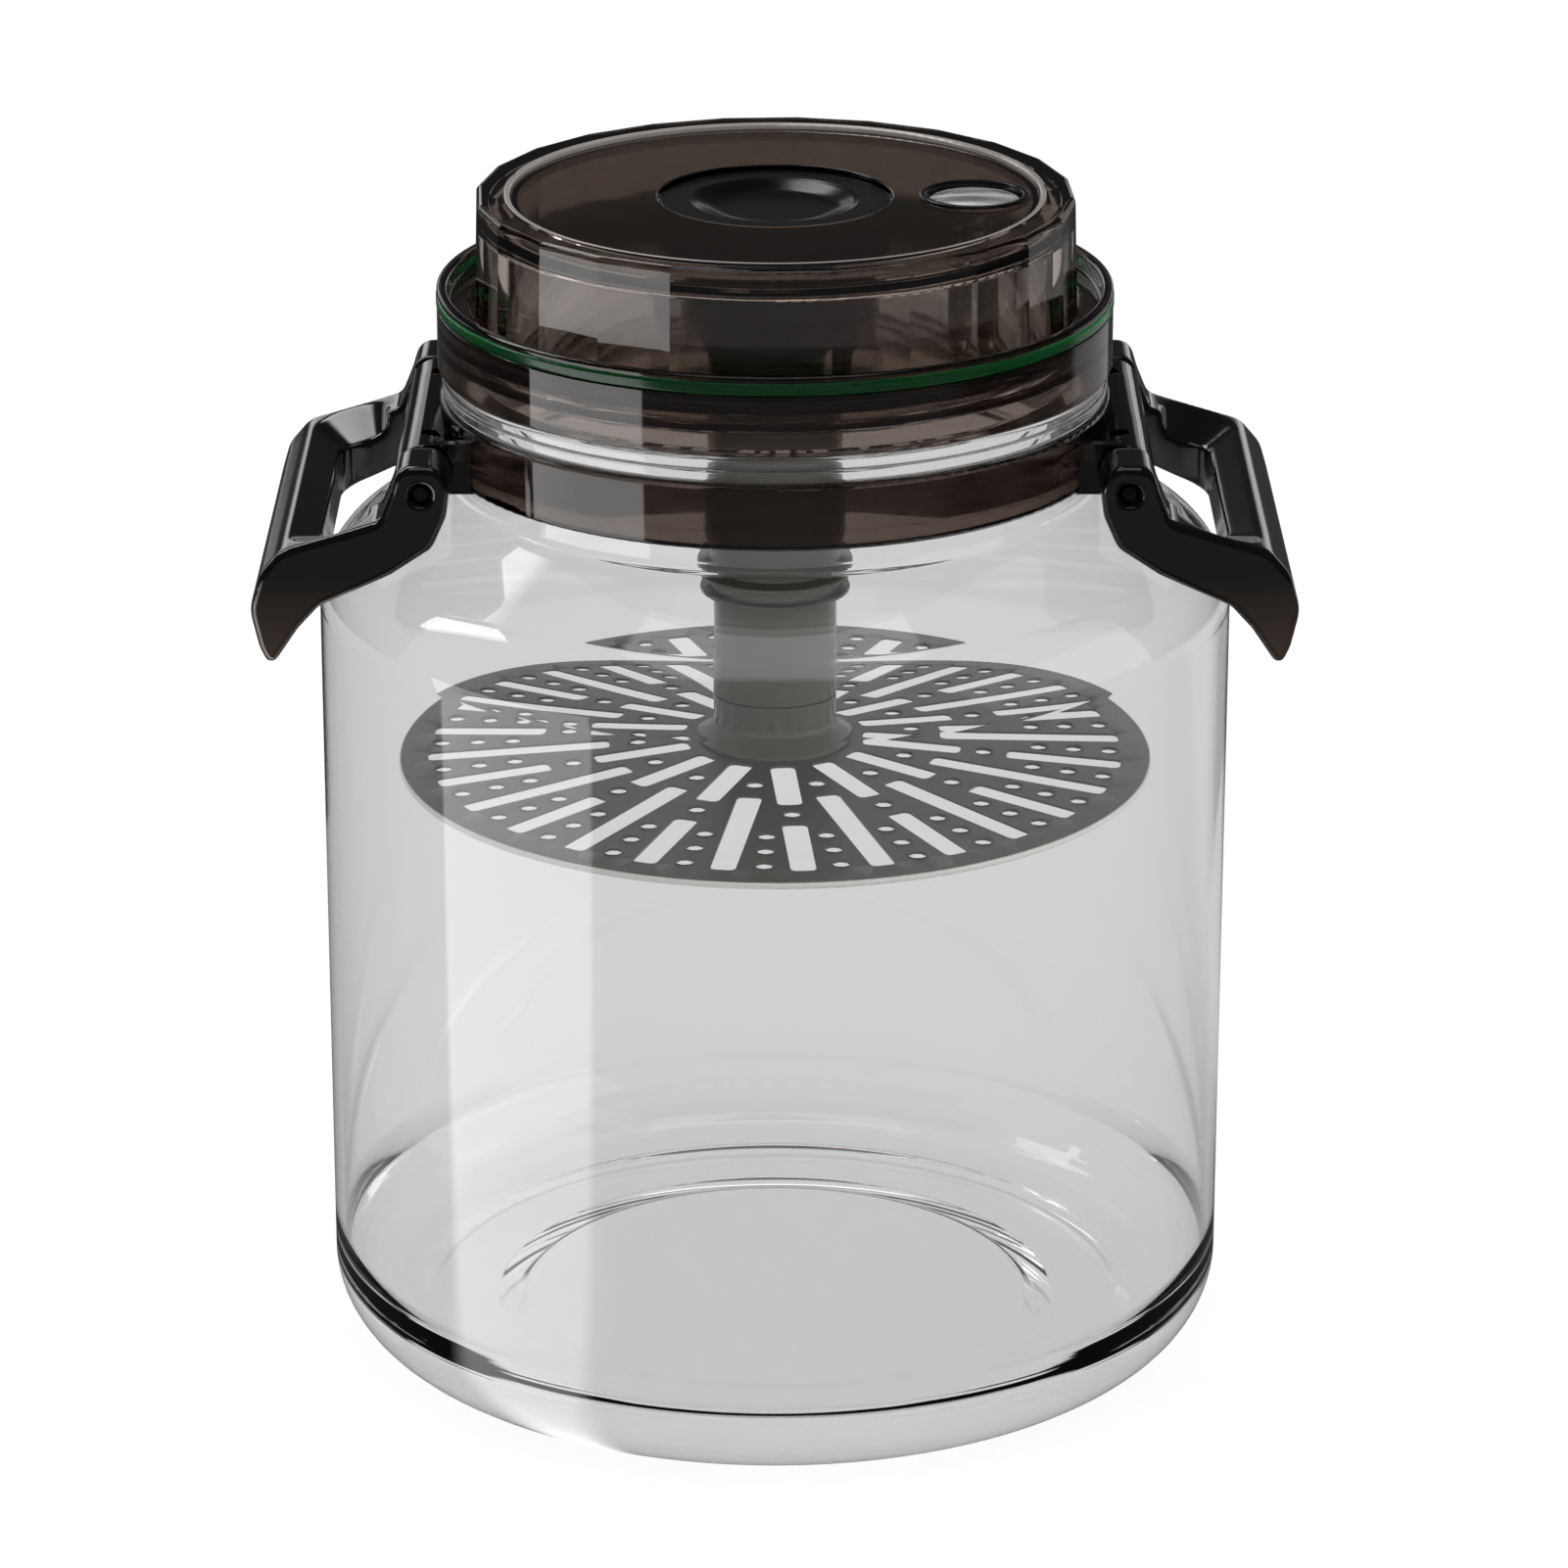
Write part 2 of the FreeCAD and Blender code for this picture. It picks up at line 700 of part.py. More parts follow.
def pump_housing():
    """Faceted drum of the pump: flat panes outside, round bore, ledge for the top panel."""
    drum = Part.makeLoft([
        facet_ring(housing_radius_low, lid_top_z), facet_ring(housing_radius_top, housing_top_z),
    ], True, True)
    top_edges = [e for e in drum.Edges if min(v.Point.z for v in e.Vertexes) > panel_z]
    drum = drum.makeFillet(rim_round, top_edges)
    ledge_bore = top_recess_radius - ledge_width
    bore = turned([
        (0, lid_top_z - ledge_thick), (housing_bore, lid_top_z - ledge_thick),
        (housing_bore, panel_z - 2 * ledge_thick, soft_edge), (ledge_bore, panel_z - ledge_thick, soft_edge),
        (ledge_bore, panel_z), (top_recess_radius, panel_z),
        (top_recess_radius, housing_top_z + ledge_thick), (0, housing_top_z + ledge_thick),
    ])
    return drum.cut(bore)


def panel_trim():
    """Bright bead round the top panel, standing in the gap between panel and housing."""
    outer = top_recess_radius - seat_gap
    return ring(outer - trim_width, outer, panel_z, housing_top_z, trim_round)


def top_panel():
    """Smoked window in the top, with round holes for the pump and release buttons."""
    panel = ring(button_radius + running_gap, panel_radius, panel_z, panel_top_z, crisp_edge)
    hole = release_radius + running_gap + bezel_width + seat_gap
    return panel.cut(rod(hole, panel_z - panel_thick, panel_top_z + panel_thick, release_x))


# ================= vacuum pump =================

def pump_cylinder():
    """Pump barrel standing on the inner lid."""
    foot = cylinder_radius + cylinder_foot
    high = lid_top_z + cylinder_height
    return turned([
        (cylinder_bore, lid_top_z), (foot, lid_top_z), (foot, lid_top_z + cylinder_foot),
        (cylinder_radius, lid_top_z + cylinder_foot, fine_edge), (cylinder_radius, high, fine_edge),
        (cylinder_bore, high, fine_edge),
    ])


def pump_button():
    """Wide push button with a finger dish, a skirt outside the barrel and a rod down to the piston."""
    cap_low = button_top_z - button_thick
    skirt = button_radius - button_skirt_wall
    skirt_low = button_top_z - button_skirt_height
    rod_low = piston_z + piston_thick
    return turned([
        (0, button_top_z - dish_depth),
        (dish_radius - dish_floor_run, button_top_z - dish_depth, dish_floor_round),
        (dish_radius, button_top_z - crisp_edge, soft_edge),
        (dish_radius + dish_rim, button_top_z, fine_edge),
        (button_radius, button_top_z, soft_edge), (button_radius, skirt_low, fine_edge),
        (skirt, skirt_low, fine_edge), (skirt, cap_low, soft_edge), (piston_rod_radius, cap_low, soft_edge),
        (piston_rod_radius, rod_low), (0, rod_low),
    ])


def pump_piston():
    """Piston disc on the button's rod, with a groove for its seal."""
    radius = cylinder_bore - running_gap
    groove = radius - piston_seal_depth
    high = piston_z + piston_thick
    middle = piston_z + piston_thick / 2
    half = piston_seal_thick / 2
    return turned([
        (0, piston_z), (radius, piston_z, crisp_edge), (radius, middle - half), (groove, middle - half),
        (groove, middle + half), (radius, middle + half), (radius, high, crisp_edge), (0, high),
    ])


def piston_seal():
    """Rubber ring in the piston's groove, a sliding fit in the barrel."""
    middle = piston_z + piston_thick / 2
    half = piston_seal_thick / 2 - fit_gap
    inner = cylinder_bore - running_gap - piston_seal_depth + fit_gap
    return ring(inner, cylinder_bore - fit_gap, middle - half, middle + half, crisp_edge)


def pump_spring():
    """Return spring under the piston."""
    return coil(pump_spring_radius, pump_spring_wire, pump_spring_turns, lid_top_z, piston_z)


def check_valve():
    """Umbrella valve in the middle of the pump floor."""
    foot_z = flange_z - valve_foot
    return turned([
        (0, foot_z), (valve_foot_radius * 0.6, foot_z, crisp_edge), (valve_foot_radius, flange_z),
        (valve_stem_radius, flange_z), (valve_stem_radius, lid_top_z), (valve_radius, lid_top_z),
        (valve_radius, lid_top_z + valve_lip), (valve_radius * 0.4, lid_top_z + valve_cap),
        (0, lid_top_z + valve_cap),
    ])


# ================= release button =================

def release_bezel():
    """Black collar pressed in the top panel round the release button."""
    bore = release_radius + running_gap
    high = panel_top_z + bezel_stand
    shape = ring(bore, bore + bezel_width, high - release_stroke - bezel_guide, high, fine_edge)
    shape.translate(Vector(release_x, 0, 0))
    return shape


def release_button():
    """Silvered push button that lets air back in, with its stem down through the inner lid."""
    low = button_top_z - release_cap
    stem_low = flange_z - seat_gap
    shape = turned([
        (0, stem_low), (release_stem_radius, stem_low), (release_stem_radius, low),
        (release_radius, low, fine_edge), (release_radius, button_top_z, soft_edge),
        (release_radius * 0.55, button_top_z + release_crown * 0.8, release_crown_round),
        (0, button_top_z + release_crown),
    ])
    shape.translate(Vector(release_x, 0, 0))
    return shape


def release_seal():
    """Silicone disc on the stem's end, drawn up against the inner lid by the spring."""
    high = flange_z - seat_gap
    return rod(release_seal_radius, high - release_seal_thick, high, release_x, fine_edge)


def release_spring():
    """Spring between the guide boss and the release button."""
    low = lid_top_z + release_boss_height
    high = button_top_z - release_cap
    radius = release_stem_radius + 2 * running_gap + release_spring_wire
    return coil(radius, release_spring_wire, release_spring_turns, low, high, release_x)


# ================= telescoping stem and strainer =================

def stem_sleeve():
    """Outer sleeve fixed in the inner lid, with thread ridges and a thin flange at its lower end."""
    core = sleeve_bore + sleeve_wall
    flange = core + sleeve_flange_width
    ridge = core + sleeve_ridge_height
    flange_top = sleeve_bottom_z + sleeve_flange
    corners = [
        (sleeve_bore, sleeve_bottom_z), (flange, sleeve_bottom_z, crisp_edge),
        (flange, flange_top, crisp_edge), (core, flange_top),
    ]
    for i in range(sleeve_ridges):
        root = sleeve_bottom_z + sleeve_ridge_rise + i * sleeve_ridge_pitch
        crest = root + sleeve_ridge_flank
        corners += [
            (core, root), (ridge, crest, fine_edge), (ridge, crest + sleeve_ridge_top, fine_edge),
            (core, crest + sleeve_ridge_top + sleeve_ridge_flank),
        ]
    sleeve = turned(corners + [(core, flange_z), (sleeve_bore, flange_z)])
    vent_place = Vector(-2 * core, 0, flange_z - socket_depth - vent_drop)
    return sleeve.cut(Part.makeCylinder(vent_radius, 4 * core, vent_place, Vector(1, 0, 0)))


def stem_tube():
    """Middle tube of the telescope, sliding in the sleeve and over the hub's post."""
    bore = tube_radius - tube_wall
    low = hub_top_z + seat_gap
    return turned([
        (bore, low), (tube_radius, low, fine_edge), (tube_radius, tube_top_z, fine_edge), (bore, tube_top_z),
    ])


def strainer_hub():
    """Hub moulded with the hollow post that the middle tube slides on, flared onto the plate."""
    post_top = tube_top_z - 3 * seat_gap
    bore = post_radius - post_wall
    return turned([
        (0, plate_foot_z), (hub_flare_radius, plate_foot_z),
        (hub_flare_radius, plate_foot_z + hub_flare_edge, crisp_edge),
        (tube_radius, plate_foot_z + hub_flare, hub_fillet), (tube_radius, hub_top_z),
        (post_radius, hub_top_z), (post_radius, post_top, fine_edge), (bore, post_top, fine_edge),
        (bore, plate_foot_z + hub_floor, hub_fillet), (0, plate_foot_z + hub_floor),
    ])


def cutter_span():
    """Where the plate's cutters start and how tall they are, past both of its faces."""
    return plate_rim_z - 2 * plate_lip, plate_crown + 4 * plate_lip


def radial_slot(start, end):
    """Cutter for one slot with rounded corners, along +X between two shares of the plate's radius."""
    low, height = cutter_span()
    length = (end - start) * plate_radius
    box = Part.makeBox(length, slot_width, height, Vector(start * plate_radius, -slot_width / 2, low))
    corners = [e for e in box.Edges if abs(e.Length - height) < 1e-6]
    return box.makeFillet(slot_round, corners)


def plate_hole(share, angle):
    """Cutter for one small drain hole, drawn as a many-sided prism."""
    low, height = cutter_span()
    middle = share * plate_radius
    points = []
    for i in range(hole_sides + 1):
        turn = 2 * math.pi * i / hole_sides
        points.append(Vector(middle + hole_radius * math.cos(turn), hole_radius * math.sin(turn), low))
    cutter = Part.Face(Part.makePolygon(points)).extrude(Vector(0, 0, height))
    cutter.rotate(Vector(0, 0, 0), Vector(0, 0, 1), angle)
    return cutter


def strainer_plate():
    """Crowned disc with a rim lip, three rings of slots and the holes between them."""
    lip_inner = plate_radius - plate_lip_width
    lip_low = plate_rim_z - plate_lip
    disc = turned([
        (0, plate_foot_z - plate_thick), (plate_hub_flat, plate_foot_z - plate_thick, plate_knee_round),
        (lip_inner, plate_rim_z - plate_thick), (lip_inner, lip_low), (plate_radius, lip_low, fine_edge),
        (plate_radius, plate_rim_z, fine_edge), (plate_hub_flat, plate_foot_z, plate_knee_round),
        (0, plate_foot_z),
    ])
    half = 180.0 / slot_count
    cutters = slot_copies(radial_slot(inner_slot_start, inner_slot_end), 0.0)
    cutters += slot_copies(radial_slot(outer_slot_start, slot_end), 0.0)
    cutters += slot_copies(radial_slot(long_slot_start, slot_end), half)
    cutters += slot_copies(plate_hole(line_hole, 0.0), 0.0)
    cutters += slot_copies(plate_hole(gap_hole, 0.0), half)
    for share in side_holes:
        for angle in (-side_hole_angle, side_hole_angle):
            cutters += slot_copies(plate_hole(share, angle), 0.0)
    return disc.cut(Part.makeCompound(cutters))


def slot_copies(cutter, turn):
    """A cutter repeated once for every slot."""
    return turned_copies(cutter, slot_count, slot_phase + turn)


# ================= the assembly =================

def parts():
    """Every node by name."""
    glass = jar_glass()
    right_handle = handle()
    right_pin = hinge_pin()
    return {
        "jar_body": glass_between(glass, 0.0, shoulder_seam_z),
        "jar_shoulder": glass_between(glass, shoulder_seam_z, neck_seam_z),
        "jar_neck": glass_between(glass, neck_seam_z, mouth_z),
        "handle_collar": handle_collar(),
        "right_hinge_pin": right_pin,
        "left_hinge_pin": mirrored(right_pin),
        "right_handle": right_handle,
        "left_handle": mirrored(right_handle),
        "screw_ring": screw_ring(),
        "green_seal_ring": green_seal_ring(),
        "mouth_gasket": mouth_gasket(),
        "lid_base": lid_base(),
        "pump_housing": pump_housing(),
        "panel_trim": panel_trim(),
        "top_panel": top_panel(),
        "pump_cylinder": pump_cylinder(),
        "pump_button": pump_button(),
        "pump_piston": pump_piston(),
        "piston_seal": piston_seal(),
        "pump_spring": pump_spring(),
        "check_valve": check_valve(),
        "release_bezel": release_bezel(),
        "release_button": release_button(),
        "release_seal": release_seal(),
        "release_spring": release_spring(),
        "stem_sleeve": stem_sleeve(),
        "stem_tube": stem_tube(),
        "strainer_hub": strainer_hub(),
        "strainer_plate": strainer_plate(),
    }


os.makedirs("parts", exist_ok=True)
for name, shape in parts().items():
    shape.exportStep(os.path.join("parts", name + ".step"))
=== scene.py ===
import bpy
import bmesh
import math
from mathutils import Matrix, Quaternion, Vector


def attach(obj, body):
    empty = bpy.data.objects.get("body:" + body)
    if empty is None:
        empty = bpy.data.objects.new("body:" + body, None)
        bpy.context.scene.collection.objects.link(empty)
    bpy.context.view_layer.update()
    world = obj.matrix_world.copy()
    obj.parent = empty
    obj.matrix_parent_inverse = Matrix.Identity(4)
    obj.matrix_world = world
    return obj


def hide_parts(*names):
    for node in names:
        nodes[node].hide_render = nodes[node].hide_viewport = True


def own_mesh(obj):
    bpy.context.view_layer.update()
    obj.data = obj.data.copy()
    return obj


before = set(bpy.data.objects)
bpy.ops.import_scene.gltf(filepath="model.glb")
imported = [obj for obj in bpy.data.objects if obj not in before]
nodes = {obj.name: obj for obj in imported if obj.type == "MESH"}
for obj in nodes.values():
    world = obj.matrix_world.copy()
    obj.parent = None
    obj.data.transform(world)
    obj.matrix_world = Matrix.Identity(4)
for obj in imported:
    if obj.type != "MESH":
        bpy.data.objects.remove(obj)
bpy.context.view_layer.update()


# ---------------------------------------------------------------- viewpoint
# A long lens a little above the shoulder looks down at the jar from the front, so that the lid's top
# and the strainer both show. Rays may pass as many walls as the glass and the smoked pieces put in line.
def put(name, data):
    """A new object in the scene."""
    made = bpy.data.objects.new(name, data)
    bpy.context.scene.collection.objects.link(made)
    return made


camera_distance = 1.35702
camera_height = 0.6255
camera_pitch = math.radians(20.22)
camera_data = bpy.data.cameras.new("camera")
camera_data.sensor_width = 36.0
camera_data.lens = 149.04
camera_data.shift_x = 0.00575
camera_data.clip_start = 0.05
camera = put("camera", camera_data)
camera.location = (0, -camera_distance, camera_height)
camera.rotation_euler = (math.pi / 2 - camera_pitch, 0, 0)
bpy.context.scene.camera = camera
bpy.context.scene.view_settings.view_transform = "Standard"
walls_in_line = 40
light_paths = bpy.context.scene.cycles
light_paths.max_bounces = walls_in_line
light_paths.transmission_bounces = walls_in_line
light_paths.transparent_max_bounces = walls_in_line
light_paths.glossy_bounces = 12
light_paths.sample_clamp_indirect = 4.0


# ---------------------------------------------------------------- glass jar
# A pressed glass jar that carries all the rest: straight wall, wide round shoulder, two rolls of bead
# under the mouth and a short screw thread on the finish. Its wall is never quite even, so reflections
# waver.
class Value:
    """A number or colour inside a material. Sums and products of values add the Math nodes for them."""

    def __init__(self, tree, socket):
        self.tree = tree
        self.socket = socket

    def maths(self, operation, *others, first=True):
        node = self.tree.nodes.new("ShaderNodeMath")
        node.operation = operation
        items = [self, *others] if first else [*others, self]
        for socket, item in zip(node.inputs, items):
            feed(socket, item)
        return Value(self.tree, node.outputs[0])

    def __add__(self, other):
        return self.maths("ADD", other)

    def __sub__(self, other):
        return self.maths("SUBTRACT", other)

    def __rsub__(self, other):
        return self.maths("SUBTRACT", other, first=False)

    def __mul__(self, other):
        return self.maths("MULTIPLY", other)

    __radd__ = __add__
    __rmul__ = __mul__


def feed(socket, item):
    """Links a value to a socket, or sets the socket to a plain number, vector or colour."""
    if isinstance(item, Value):
        item.tree.links.new(item.socket, socket)
    elif socket.type == "RGBA":
        socket.default_value = (*item, 1)
    else:
        socket.default_value = item


class Finish:
    """The nodes of one material, or of the world round the scene, and short ways to add them."""

    def __init__(self, name, world=False):
        self.block = (bpy.data.worlds if world else bpy.data.materials).new(name)
        self.block.use_nodes = True
        self.tree = self.block.node_tree
        self.tree.nodes.clear()
        self.out = "ShaderNodeOutputWorld" if world else "ShaderNodeOutputMaterial"

    def node(self, kind, values=None, settings=None, output=0):
        """One node: its settings first, then its sockets. Returns the output that is used."""
        made = self.tree.nodes.new("ShaderNode" + kind)
        for key, value in (settings or {}).items():
            if key == "stops":
                ramp = made.color_ramp
                while len(ramp.elements) < len(value):
                    ramp.elements.new(0.5)
                for element, (place, colour) in zip(ramp.elements, value):
                    element.position = place
                    element.color = (*colour, 1)
            else:
                setattr(made, key, value)
        for key, value in (values or {}).items():
            feed(made.inputs[key], value)
        return Value(self.tree, made.outputs[output])

    def place(self, stretch=(1, 1, 1)):
        """Object coordinates, stretched."""
        return self.node("Mapping", {"Vector": self.node("TexCoord", output="Object"), "Scale": stretch})

    def noise(self, scale, detail, stretch=(1, 1, 1)):
        return self.node("TexNoise", {"Vector": self.place(stretch), "Scale": scale, "Detail": detail})

    def blend(self, share, first, second):
        """A colour between two."""
        mix = self.tree.nodes.new("ShaderNodeMix")
        mix.data_type = "RGBA"
        sockets = {socket.identifier: socket for socket in (*mix.inputs, *mix.outputs)}
        feed(sockets["Factor_Float"], share)
        feed(sockets["A_Color"], first)
        feed(sockets["B_Color"], second)
        return Value(self.tree, sockets["Result_Color"])

    def waver(self, height, depth, strength):
        """A Bump node fed by a height between 0 and 1, its depth in metres."""
        return self.node("Bump", {"Height": height, "Distance": depth, "Strength": strength})

    def choose(self, share, first, second):
        """The first shader where the share is 0 and the second where it is 1."""
        mix = self.tree.nodes.new("ShaderNodeMixShader")
        for socket, item in zip(mix.inputs, (share, first, second)):
            feed(socket, item)
        return Value(self.tree, mix.outputs[0])

    def seen_by(self, kind):
        """1 for rays of one kind: Camera, Shadow, Glossy or Transmission."""
        return self.node("LightPath", output="Is %s Ray" % kind)

    def see_through(self, body, shadow_tint):
        """Lets lamp light pass straight through, so that a clear piece throws a soft tinted shadow."""
        passing = self.node("BsdfTransparent", {"Color": shadow_tint})
        return self.choose(self.seen_by("Shadow"), body, passing)

    def end(self, surface, volume=None):
        out = self.tree.nodes.new(self.out)
        feed(out.inputs["Surface"], surface)
        if volume is not None:
            feed(out.inputs["Volume"], volume)


def rounded(corners):
    """Outline points from corners (radius, height) or (radius, height, round), in millimetres."""
    nearly_straight = math.pi / 2 - 0.01
    most_of_side = 0.48
    wide_round, wide_steps, tight_steps = 5, 20, 6
    points = []
    for i, corner in enumerate(corners):
        here = Vector(corner[:2])
        back = Vector(corners[i - 1][:2]) - here
        ahead = Vector(corners[(i + 1) % len(corners)][:2]) - here
        half = back.angle(ahead, math.pi) / 2
        if len(corner) < 3 or half > nearly_straight:
            points.append(here)
            continue
        reach = min(corner[2] / math.tan(half), most_of_side * back.length, most_of_side * ahead.length)
        centre = here + (back.normalized() + ahead.normalized()).normalized() * reach / math.cos(half)
        arm = here + back.normalized() * reach - centre
        sweep = (math.pi - 2 * half) * (1 if back.cross(ahead) < 0 else -1)
        steps = wide_steps if corner[2] >= wide_round else tight_steps
        for k in range(steps + 1):
            share = (1 - math.cos(math.pi * k / steps)) / 2
            points.append(centre + Matrix.Rotation(sweep * share, 2) @ arm)
    return points


def held(outline):
    """The outline with a point close to both ends of each long side, so that its shading stays flat."""
    hold = 0.3
    long_side = 2.5
    points = []
    for here, after in zip(outline, outline[1:] + outline[:1]):
        points.append(here)
        side = after - here
        if side.length > long_side:
            points.append(here + side.normalized() * hold)
            points.append(after - side.normalized() * hold)
    return points


def crisp(piece):
    """Smooth shading, broken where two faces meet at more than the sharp angle."""
    sharp_angle = math.radians(32)
    piece.data.shade_smooth()
    piece.data.set_sharp_from_angle(angle=sharp_angle)
    return piece


def lathe(name, corners, around=192, shape=None):
    """A closed mesh turned about Z from an outline in millimetres. shape may move a point (r, turn, z)."""
    outline = held(rounded(corners))
    area = sum(a.cross(b) for a, b in zip(outline, outline[1:] + outline[:1]))
    if area < 0:
        outline.reverse()
    on_axis = 1e-6
    mesh = bmesh.new()
    rows = []
    for point in outline:
        row = []
        for k in range(around if point.x > on_axis else 1):
            turn = 2 * math.pi * k / around
            radius, height = shape(point.x, turn, point.y) if shape else point
            x, y = radius * math.cos(turn), radius * math.sin(turn)
            row.append(mesh.verts.new((x / 1000, y / 1000, height / 1000)))
        rows.append(row)
    for low, high in zip(rows, rows[1:] + rows[:1]):
        if len(low) == len(high) == 1:
            continue
        for k in range(around):
            after = (k + 1) % around
            quad = [low[k % len(low)], low[after % len(low)], high[after % len(high)], high[k % len(high)]]
            mesh.faces.new(list(dict.fromkeys(quad)))
    data = bpy.data.meshes.new(name)
    mesh.to_mesh(data)
    mesh.free()
    return crisp(put(name, data))


def dress(piece, finish):
    """The piece's one material."""
    piece.data.materials.clear()
    piece.data.materials.append(finish.block)


def thread(turn, z, start, pitch, turns, depth, half_width):
    """How far a round thread stands out of a wall at a point; its two ends fade into the wall."""
    run_out = 0.08
    fullness = 0.6
    best = 0.0
    for n in range(math.ceil(turns) + 1):
        along = turn / (2 * math.pi) + n
        if along > turns:
            continue
        off = abs(z - start - pitch * along) / half_width
        fade = min(1.0, along / run_out, (turns - along) / run_out)
        if off < 1:
            best = max(best, depth * fade * (0.5 + 0.5 * math.cos(math.pi * off)) ** fullness)
    return best


jar_radius = 100.0
jar_inside = jar_radius - 2.2
jar_floor = 4.0
foot_hollow = 1.8
foot_inner = 56.4
foot_outer = 63.6
wall_top = 181.8
inner_wall_top = 180.5
shoulder_top = 198.8
collar_seat = 203.8
collar_seat_radius = 70.0
neck_radius = 68.0
bead_radius = 72.4
bead_bottom = 218.0
lower_roll_top = 220.95
bead_groove = 221.1
bead_groove_radius = 71.3
upper_roll_bottom = 221.3
finish_bottom = 224.2
finish_radius = 66.0
mouth = 232.7
mouth_bore = 62.5
bore_bottom = 216.0
throat_radius = 67.8
throat_top = 206.0
throat_bottom = 197.5
thread_pitch = 3.6
on_wall = 0.01


def neck_shape(radius, turn, z):
    """Raises the screw thread on the finish."""
    if abs(radius - finish_radius) > on_wall or not finish_bottom < z < mouth:
        return radius, z
    rise = thread(turn, z, start=225.9, pitch=thread_pitch, turns=1.45, depth=2.4, half_width=1.15)
    return radius + rise, z


outer_line = [
    (0, foot_hollow), (foot_inner, foot_hollow, 8.0), (foot_outer, 0.0, 3.0), (jar_radius, 0.0, 25.4),
    (jar_radius, wall_top, 18.0), (collar_seat_radius, shoulder_top, 2.0),
    (collar_seat_radius, collar_seat, 0.6), (neck_radius, collar_seat, 0.3),
    (neck_radius, bead_bottom, 0.3), (bead_radius, bead_bottom, 1.4), (bead_radius, lower_roll_top, 1.4),
    (bead_groove_radius, bead_groove, 0.3), (bead_radius, upper_roll_bottom, 1.4),
    (bead_radius, finish_bottom, 1.4), (finish_radius, finish_bottom, 0.5),
]
thread_rows = [(finish_radius, finish_bottom + 0.25 * k) for k in range(1, 30)]
inner_line = [
    (finish_radius, mouth, 1.1), (mouth_bore, mouth, 1.1), (mouth_bore, bore_bottom, 4.0),
    (throat_radius, throat_top, 5.0), (throat_radius, throat_bottom, 4.2),
    (jar_inside, inner_wall_top, 15.8), (jar_inside, jar_floor, 23.2), (0, jar_floor),
]
jar = lathe("jar_glass", outer_line + thread_rows + inner_line, around=224, shape=neck_shape)

clear_glass = Finish("clear_glass")
glass_thickness = clear_glass.noise(9.0, 2.0, stretch=(1, 1, 0.35))
glass_marks = clear_glass.noise(60.0, 4.0)
glass_body = clear_glass.node("BsdfPrincipled", {
    "Base Color": clear_glass.blend(glass_thickness, (0.955, 0.965, 0.96), (0.98, 0.985, 0.983)),
    "Roughness": glass_marks * 0.006, "IOR": 1.5, "Transmission Weight": 1.0,
    "Normal": clear_glass.waver(glass_thickness, depth=0.004, strength=0.15),
})
clear_glass.end(clear_glass.see_through(glass_body, shadow_tint=(0.93, 0.94, 0.94)))
dress(jar, clear_glass)
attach(jar, "jar")
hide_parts("jar_body", "jar_shoulder", "jar_neck")


# ---------------------------------------------------------------- handle collar
# A smoked see-through band round the neck, moulded in one piece with the two hinge knuckles. Thin walls
# look brown, and where the eye looks along a wall it turns almost black, so the colour is held in the
# plastic's depth.
def smoked(name, tint, density):
    """See-through smoked plastic: a light surface tint and a darkening that grows with thickness."""
    finish = Finish(name)
    flow = finish.noise(14.0, 3.0, stretch=(1, 1, 0.4))
    dust = finish.noise(420.0, 2.0)
    deeper_tint = tuple(0.9 * c for c in tint)
    shadow_tint = tuple(0.45 * c for c in tint)
    body = finish.node("BsdfPrincipled", {
        "Base Color": finish.blend(flow, tint, deeper_tint),
        "Roughness": dust * 0.04 + 0.02,
        "IOR": 1.49,
        "Transmission Weight": 1.0,
        "Normal": finish.waver(flow, depth=0.002, strength=0.25),
    })
    depth = finish.node("VolumeAbsorption", {"Color": (0.70, 0.65, 0.62), "Density": density})
    finish.end(finish.see_through(body, shadow_tint), depth)
    return finish


dress(nodes["handle_collar"], smoked("smoked_plastic", (0.70, 0.65, 0.62), density=1000.0))


# ---------------------------------------------------------------- handles
# Two bail handles of the same plastic in a much deeper smoke: black where it is thick, brown at the thin
# claw tip. Their edges are softly moulded, and they turn on the rods.
def settle(piece):
    """Turns the piece's modifiers into plain mesh."""
    shaped = piece.evaluated_get(bpy.context.evaluated_depsgraph_get())
    data = bpy.data.meshes.new_from_object(shaped)
    piece.modifiers.clear()
    piece.data = data


claw_root = 0.190
claw_tip = 0.173
deep_smoke = Finish("dark_smoked_plastic")
height = deep_smoke.node("SeparateXYZ", {"Vector": deep_smoke.place()}, output="Z")
thinness = deep_smoke.node("MapRange", {"Value": height, "From Min": claw_root, "From Max": claw_tip})
moulding = deep_smoke.noise(35.0, 3.0)
deep_smoke.end(deep_smoke.node("BsdfPrincipled", {
    "Base Color": deep_smoke.blend(thinness, (0.0035, 0.0032, 0.0028), (0.052, 0.034, 0.024)),
    "Roughness": moulding * 0.06 + 0.09, "Coat Weight": 0.3, "Coat Roughness": 0.04,
    "Normal": deep_smoke.waver(moulding, depth=0.0006, strength=0.25),
}))
for side in ("right", "left"):
    grip = put(side + "_handle_moulding", nodes[side + "_handle"].data.copy())
    even = grip.modifiers.new("even", "REMESH")
    even.mode = "VOXEL"
    even.voxel_size = 0.00055
    eased = grip.modifiers.new("eased", "SMOOTH")
    eased.factor = 0.5
    eased.iterations = 7
    settle(grip)
    grip.data.shade_smooth()
    dress(grip, deep_smoke)
    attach(grip, side + "_handle")
    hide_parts(side + "_handle")


